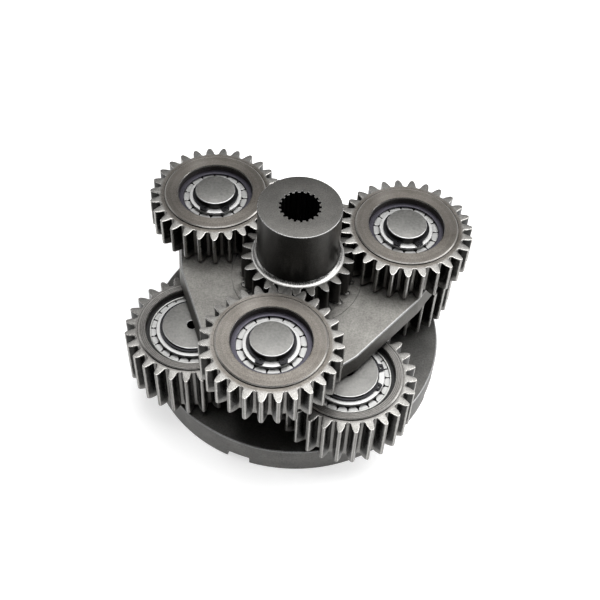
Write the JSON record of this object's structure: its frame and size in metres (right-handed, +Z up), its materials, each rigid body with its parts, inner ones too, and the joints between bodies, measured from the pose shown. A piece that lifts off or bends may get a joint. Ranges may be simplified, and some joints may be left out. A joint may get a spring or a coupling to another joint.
{
  "type": "two-stage planetary gear set",
  "caption": "Two-stage planetary reduction gear set: an upper stage on a three-cornered carrier plate above a lower stage on a round carrier, driven by a sun gear with a splined hub.",
  "frame": {"origin": "on the common gear axis, at the underside of the lower carrier disc", "axes": "+Z up along the gear axis, from the lower carrier to the splined hub; one lower planet stands at azimuth -63 degrees and one upper planet at azimuth -101 degrees from +X at rest"},
  "size_m": [0.3005, 0.304, 0.1921],
  "materials": {
    "gear_steel": "ground and shot-blasted case-hardened steel, satin",
    "hub_steel": "turned, dark oiled steel, semi-gloss",
    "carrier_steel": "machined forged steel, fine grain",
    "pin_steel": "ground pin, fine-grained end face",
    "bearing_steel": "ground bearing steel, polished",
    "retainer_steel": "blue-black oxide",
    "circlip_steel": "black oxide spring steel",
    "washer_steel": "ground steel, satin"
  },
  "bodies": {
    "lower_carrier_body": {"lower_carrier": "carrier_steel", "sun_thrust_ring": "washer_steel", "lower_planet_pin_1": "pin_steel", "lower_bearing_inner_ring_1": "bearing_steel", "lower_thrust_washer_1": "washer_steel", "lower_pin_circlip_1": "circlip_steel", "lower_planet_pin_2": "pin_steel", "lower_bearing_inner_ring_2": "bearing_steel", "lower_thrust_washer_2": "washer_steel", "lower_pin_circlip_2": "circlip_steel", "lower_planet_pin_3": "pin_steel", "lower_bearing_inner_ring_3": "bearing_steel", "lower_thrust_washer_3": "washer_steel", "lower_pin_circlip_3": "circlip_steel", "lower_planet_pin_4": "pin_steel", "lower_bearing_inner_ring_4": "bearing_steel", "lower_thrust_washer_4": "washer_steel", "lower_pin_circlip_4": "circlip_steel"},
    "upper_carrier_body": {"upper_carrier": "carrier_steel", "second_sun_gear": "gear_steel", "sun_spacer_ring": "washer_steel", "upper_planet_pin_1": "pin_steel", "upper_bearing_inner_ring_1": "bearing_steel", "upper_thrust_washer_1": "washer_steel", "upper_pin_circlip_1": "circlip_steel", "upper_planet_pin_2": "pin_steel", "upper_bearing_inner_ring_2": "bearing_steel", "upper_thrust_washer_2": "washer_steel", "upper_pin_circlip_2": "circlip_steel", "upper_planet_pin_3": "pin_steel", "upper_bearing_inner_ring_3": "bearing_steel", "upper_thrust_washer_3": "washer_steel", "upper_pin_circlip_3": "circlip_steel"},
    "first_sun_body": {"first_sun_gear": "hub_steel"},
    "upper_planet_body_1": {"upper_planet_gear_1": "gear_steel", "upper_roller_retaining_ring_1": "retainer_steel"},
    "upper_roller_body_1": {"upper_rollers_1": "bearing_steel"},
    "upper_planet_body_2": {"upper_planet_gear_2": "gear_steel", "upper_roller_retaining_ring_2": "retainer_steel"},
    "upper_roller_body_2": {"upper_rollers_2": "bearing_steel"},
    "upper_planet_body_3": {"upper_planet_gear_3": "gear_steel", "upper_roller_retaining_ring_3": "retainer_steel"},
    "upper_roller_body_3": {"upper_rollers_3": "bearing_steel"},
    "lower_planet_body_1": {"lower_planet_gear_1": "gear_steel", "lower_roller_retaining_ring_1": "retainer_steel"},
    "lower_roller_body_1": {"lower_rollers_1": "bearing_steel"},
    "lower_planet_body_2": {"lower_planet_gear_2": "gear_steel", "lower_roller_retaining_ring_2": "retainer_steel"},
    "lower_roller_body_2": {"lower_rollers_2": "bearing_steel"},
    "lower_planet_body_3": {"lower_planet_gear_3": "gear_steel", "lower_roller_retaining_ring_3": "retainer_steel"},
    "lower_roller_body_3": {"lower_rollers_3": "bearing_steel"},
    "lower_planet_body_4": {"lower_planet_gear_4": "gear_steel", "lower_roller_retaining_ring_4": "retainer_steel"},
    "lower_roller_body_4": {"lower_rollers_4": "bearing_steel"}
  },
  "joints": [
    {"name": "upper_carrier_spin", "type": "hinge", "parent": "lower_carrier_body", "child": "upper_carrier_body", "pos_m": [0, 0, 0.0992], "axis": [0, 0, 1], "continuous": true},
    {"name": "first_sun_spin", "type": "hinge", "parent": "upper_carrier_body", "child": "first_sun_body", "pos_m": [0, 0, 0.1225], "axis": [0, 0, 1], "continuous": true},
    {"name": "upper_planet_spin_1", "type": "hinge", "parent": "upper_carrier_body", "child": "upper_planet_body_1", "pos_m": [-0.01908, -0.09816, 0.124], "axis": [0, 0, 1], "continuous": true},
    {"name": "upper_roller_spin_1", "type": "hinge", "parent": "upper_carrier_body", "child": "upper_roller_body_1", "pos_m": [-0.01908, -0.09816, 0.124], "axis": [0, 0, 1], "continuous": true},
    {"name": "upper_planet_spin_2", "type": "hinge", "parent": "upper_carrier_body", "child": "upper_planet_body_2", "pos_m": [0.09455, 0.03256, 0.124], "axis": [0, 0, 1], "continuous": true},
    {"name": "upper_roller_spin_2", "type": "hinge", "parent": "upper_carrier_body", "child": "upper_roller_body_2", "pos_m": [0.09455, 0.03256, 0.124], "axis": [0, 0, 1], "continuous": true},
    {"name": "upper_planet_spin_3", "type": "hinge", "parent": "upper_carrier_body", "child": "upper_planet_body_3", "pos_m": [-0.07547, 0.06561, 0.124], "axis": [0, 0, 1], "continuous": true},
    {"name": "upper_roller_spin_3", "type": "hinge", "parent": "upper_carrier_body", "child": "upper_roller_body_3", "pos_m": [-0.07547, 0.06561, 0.124], "axis": [0, 0, 1], "continuous": true},
    {"name": "lower_planet_spin_1", "type": "hinge", "parent": "lower_carrier_body", "child": "lower_planet_body_1", "pos_m": [0.0454, -0.0891, 0.061], "axis": [0, 0, 1], "continuous": true},
    {"name": "lower_roller_spin_1", "type": "hinge", "parent": "lower_carrier_body", "child": "lower_roller_body_1", "pos_m": [0.0454, -0.0891, 0.061], "axis": [0, 0, 1], "continuous": true},
    {"name": "lower_planet_spin_2", "type": "hinge", "parent": "lower_carrier_body", "child": "lower_planet_body_2", "pos_m": [0.0891, 0.0454, 0.061], "axis": [0, 0, 1], "continuous": true},
    {"name": "lower_roller_spin_2", "type": "hinge", "parent": "lower_carrier_body", "child": "lower_roller_body_2", "pos_m": [0.0891, 0.0454, 0.061], "axis": [0, 0, 1], "continuous": true},
    {"name": "lower_planet_spin_3", "type": "hinge", "parent": "lower_carrier_body", "child": "lower_planet_body_3", "pos_m": [-0.0454, 0.0891, 0.061], "axis": [0, 0, 1], "continuous": true},
    {"name": "lower_roller_spin_3", "type": "hinge", "parent": "lower_carrier_body", "child": "lower_roller_body_3", "pos_m": [-0.0454, 0.0891, 0.061], "axis": [0, 0, 1], "continuous": true},
    {"name": "lower_planet_spin_4", "type": "hinge", "parent": "lower_carrier_body", "child": "lower_planet_body_4", "pos_m": [-0.0891, -0.0454, 0.061], "axis": [0, 0, 1], "continuous": true},
    {"name": "lower_roller_spin_4", "type": "hinge", "parent": "lower_carrier_body", "child": "lower_roller_body_4", "pos_m": [-0.0891, -0.0454, 0.061], "axis": [0, 0, 1], "continuous": true}
  ],
  "couplings": [
    {"joint": "upper_planet_spin_1", "follows": "first_sun_spin", "ratio": -0.81481},
    {"joint": "upper_roller_spin_1", "follows": "first_sun_spin", "ratio": -0.48889},
    {"joint": "upper_planet_spin_2", "follows": "first_sun_spin", "ratio": -0.81481},
    {"joint": "upper_roller_spin_2", "follows": "first_sun_spin", "ratio": -0.48889},
    {"joint": "upper_planet_spin_3", "follows": "first_sun_spin", "ratio": -0.81481},
    {"joint": "upper_roller_spin_3", "follows": "first_sun_spin", "ratio": -0.48889},
    {"joint": "lower_planet_spin_1", "follows": "upper_carrier_spin", "ratio": -0.85185},
    {"joint": "lower_roller_spin_1", "follows": "upper_carrier_spin", "ratio": -0.47886},
    {"joint": "lower_planet_spin_2", "follows": "upper_carrier_spin", "ratio": -0.85185},
    {"joint": "lower_roller_spin_2", "follows": "upper_carrier_spin", "ratio": -0.47886},
    {"joint": "lower_planet_spin_3", "follows": "upper_carrier_spin", "ratio": -0.85185},
    {"joint": "lower_roller_spin_3", "follows": "upper_carrier_spin", "ratio": -0.47886},
    {"joint": "lower_planet_spin_4", "follows": "upper_carrier_spin", "ratio": -0.85185},
    {"joint": "lower_roller_spin_4", "follows": "upper_carrier_spin", "ratio": -0.47886}
  ]
}
